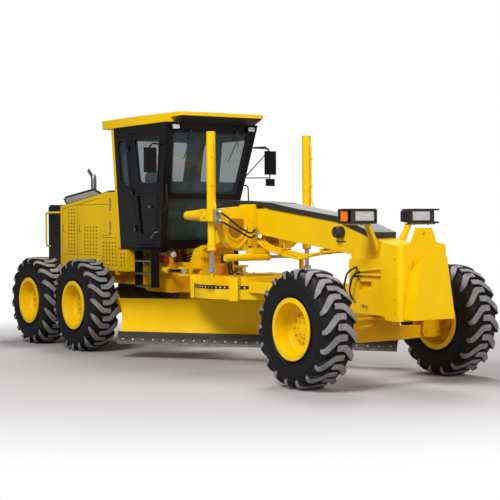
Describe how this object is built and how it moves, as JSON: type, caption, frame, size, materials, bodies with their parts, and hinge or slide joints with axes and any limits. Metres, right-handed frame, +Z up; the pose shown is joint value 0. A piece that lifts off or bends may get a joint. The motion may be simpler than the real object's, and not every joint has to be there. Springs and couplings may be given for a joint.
{
  "type": "motor grader",
  "caption": "Articulated six-wheel motor grader with a cab, an engine hood, a gooseneck front frame, leaning front wheels and a blade on a turning circle.",
  "frame": {"origin": "on the ground, at the middle of the length and width", "axes": "+X forward, +Y to the operator's left, +Z up"},
  "size_m": [8.9, 2.6, 3.3849],
  "materials": {
    "black_paint": "satin paint",
    "cast": "rough",
    "chrome": "polished",
    "dark_steel": "satin",
    "deck": "anti-slip",
    "glass": "tinted",
    "seat": "woven",
    "tyre": "matte",
    "yellow": "satin paint"
  },
  "bodies": {
    "rear_body": {"rear_frame": "yellow", "tow_hitch": "yellow", "tandem_axle": "yellow", "artic_barrels": "yellow", "engine_block": "cast", "hood": "yellow", "hood_cover": "deck", "radiator_housing": "black_paint", "rear_rails": "yellow", "exhaust_stack": "chrome", "cab_shell": "black_paint", "cab_rear_wall": "yellow", "cab_glass": "glass", "cab_roof": "yellow", "seat": "seat", "console": "black_paint", "ladders": "black_paint", "mirrors": "black_paint"},
    "front_body": {"front_frame": "yellow", "walkway_cover": "deck", "saddle": "yellow", "front_barrels": "yellow", "nose_shell": "yellow", "headlamps": "black_paint", "front_axle": "yellow"},
    "cab_door_left": {"cab_door_left": "black_paint", "door_glass_left": "glass"},
    "engine_door_left": {"engine_door_left": "yellow"},
    "lift_rod_left": {"lift_rod_left": "chrome"},
    "artic_rod_left": {"artic_rod_left": "chrome"},
    "lean_left": {"lean_carrier_left": "yellow"},
    "knuckle_left": {"knuckle_left": "yellow"},
    "cab_door_right": {"cab_door_right": "black_paint", "door_glass_right": "glass"},
    "engine_door_right": {"engine_door_right": "yellow"},
    "lift_rod_right": {"lift_rod_right": "chrome"},
    "artic_rod_right": {"artic_rod_right": "chrome"},
    "lean_right": {"lean_carrier_right": "yellow"},
    "knuckle_right": {"knuckle_right": "yellow"},
    "wheel_rear_left": {"tyre_rear_left": "tyre", "rim_rear_left": "yellow"},
    "wheel_rear_right": {"tyre_rear_right": "tyre", "rim_rear_right": "yellow"},
    "wheel_middle_left": {"tyre_middle_left": "tyre", "rim_middle_left": "yellow"},
    "wheel_middle_right": {"tyre_middle_right": "tyre", "rim_middle_right": "yellow"},
    "wheel_front_left": {"tyre_front_left": "tyre", "rim_front_left": "yellow"},
    "wheel_front_right": {"tyre_front_right": "tyre", "rim_front_right": "yellow"},
    "lean_bar": {"lean_bar": "yellow"},
    "shift_rod": {"shift_rod": "chrome"},
    "swivel": {"swivel": "dark_steel"},
    "drawbar": {"drawbar": "yellow", "circle_drive": "dark_steel"},
    "circle": {"circle": "yellow"},
    "blade_carrier": {"blade_carrier": "yellow"},
    "blade": {"moldboard": "yellow", "cutting_edge": "dark_steel"}
  },
  "joints": [
    {"name": "roll_rear_left", "type": "hinge", "parent": "rear_body", "child": "wheel_rear_left", "pos_m": [-3.47, 1.08, 0.675], "axis": [0, 1, 0], "continuous": true},
    {"name": "roll_rear_right", "type": "hinge", "parent": "rear_body", "child": "wheel_rear_right", "pos_m": [-3.47, -1.08, 0.675], "axis": [0, 1, 0], "continuous": true},
    {"name": "roll_middle_left", "type": "hinge", "parent": "rear_body", "child": "wheel_middle_left", "pos_m": [-1.93, 1.08, 0.675], "axis": [0, 1, 0], "continuous": true},
    {"name": "roll_middle_right", "type": "hinge", "parent": "rear_body", "child": "wheel_middle_right", "pos_m": [-1.93, -1.08, 0.675], "axis": [0, 1, 0], "continuous": true},
    {"name": "articulation", "type": "hinge", "parent": "rear_body", "child": "front_body", "pos_m": [-0.35, 0, 1.1], "axis": [0, 0, 1], "range_deg": [-25, 25]},
    {"name": "artic_rod_slide_left", "type": "slide", "parent": "rear_body", "child": "artic_rod_left", "axis": [1, 0, 0], "range_m": [-0.2104, 0.2104]},
    {"name": "lean_left", "type": "hinge", "parent": "front_body", "child": "lean_left", "pos_m": [3.5, 0.64, 0.56], "axis": [-1, 0, 0], "range_deg": [-18, 18]},
    {"name": "steer_left", "type": "hinge", "parent": "lean_left", "child": "knuckle_left", "pos_m": [3.5, 0.88, 0.675], "axis": [0, 0, 1], "range_deg": [-45, 45]},
    {"name": "roll_front_left", "type": "hinge", "parent": "knuckle_left", "child": "wheel_front_left", "pos_m": [3.5, 1.08, 0.675], "axis": [0, 1, 0], "continuous": true},
    {"name": "artic_rod_slide_right", "type": "slide", "parent": "rear_body", "child": "artic_rod_right", "axis": [1, 0, 0], "range_m": [-0.2104, 0.2104]},
    {"name": "lean_right", "type": "hinge", "parent": "front_body", "child": "lean_right", "pos_m": [3.5, -0.64, 0.56], "axis": [-1, 0, 0], "range_deg": [-18, 18]},
    {"name": "steer_right", "type": "hinge", "parent": "lean_right", "child": "knuckle_right", "pos_m": [3.5, -0.88, 0.675], "axis": [0, 0, 1], "range_deg": [-45, 45]},
    {"name": "roll_front_right", "type": "hinge", "parent": "knuckle_right", "child": "wheel_front_right", "pos_m": [3.5, -1.08, 0.675], "axis": [0, 1, 0], "continuous": true},
    {"name": "lean_bar_slide", "type": "slide", "parent": "front_body", "child": "lean_bar", "axis": [0, 1, 0], "range_m": [-0.0607, 0.0607]},
    {"name": "drawbar_swing", "type": "hinge", "parent": "front_body", "child": "swivel", "pos_m": [3.15, 0, 1.02], "axis": [0, 0, 1], "range_deg": [-8, 8]},
    {"name": "drawbar_lift", "type": "hinge", "parent": "swivel", "child": "drawbar", "pos_m": [3.15, 0, 1.02], "axis": [0, 1, 0], "range_deg": [-13, 6]},
    {"name": "lift_rod_slide_left", "type": "slide", "parent": "front_body", "child": "lift_rod_left", "axis": [0, 0, 1], "range_m": [-0.4785, 0.2219]},
    {"name": "lift_rod_slide_right", "type": "slide", "parent": "front_body", "child": "lift_rod_right", "axis": [0, 0, 1], "range_m": [-0.4785, 0.2219]},
    {"name": "shift_rod_slide", "type": "slide", "parent": "front_body", "child": "shift_rod", "axis": [0, 1, 0], "range_m": [-0.2544, 0.2544]},
    {"name": "circle_turn", "type": "hinge", "parent": "drawbar", "child": "circle", "pos_m": [0.87, 0, 0.88], "axis": [0, 0, 1], "continuous": true},
    {"name": "blade_pitch", "type": "hinge", "parent": "circle", "child": "blade_carrier", "pos_m": [0.69324, 0.2424, 0.42], "axis": [0.808, 0.5892, 0], "range_deg": [-5, 40]},
    {"name": "blade_shift", "type": "slide", "parent": "blade_carrier", "child": "blade", "axis": [0.808, 0.5892, 0], "range_m": [-0.5, 0.5]},
    {"name": "cab_door_hinge_left", "type": "hinge", "parent": "rear_body", "child": "cab_door_left", "pos_m": [-1.203, 0.68539, 2.3284], "axis": [0, 0.1001, 0.995], "range_deg": [0, 100]},
    {"name": "engine_door_hinge_left", "type": "hinge", "parent": "rear_body", "child": "engine_door_left", "pos_m": [-2.057, 0.616, 1.7], "axis": [0, 0, -1], "range_deg": [0, 110]},
    {"name": "cab_door_hinge_right", "type": "hinge", "parent": "rear_body", "child": "cab_door_right", "pos_m": [-1.203, -0.68539, 2.3284], "axis": [0, 0.1001, -0.995], "range_deg": [0, 100]},
    {"name": "engine_door_hinge_right", "type": "hinge", "parent": "rear_body", "child": "engine_door_right", "pos_m": [-2.057, -0.616, 1.7], "axis": [0, 0, 1], "range_deg": [0, 110]}
  ],
  "couplings": [
    {"joint": "artic_rod_slide_left", "follows": "articulation", "m_per_rad": -0.48},
    {"joint": "artic_rod_slide_right", "follows": "articulation", "m_per_rad": 0.48},
    {"joint": "steer_right", "follows": "steer_left", "ratio": 1},
    {"joint": "lean_right", "follows": "lean_left", "ratio": 1},
    {"joint": "lean_bar_slide", "follows": "lean_left", "m_per_rad": 0.19},
    {"joint": "lift_rod_slide_left", "follows": "drawbar_lift", "m_per_rad": 2.0989},
    {"joint": "lift_rod_slide_right", "follows": "drawbar_lift", "m_per_rad": 2.0989},
    {"joint": "shift_rod_slide", "follows": "drawbar_swing", "m_per_rad": -1.815}
  ]
}
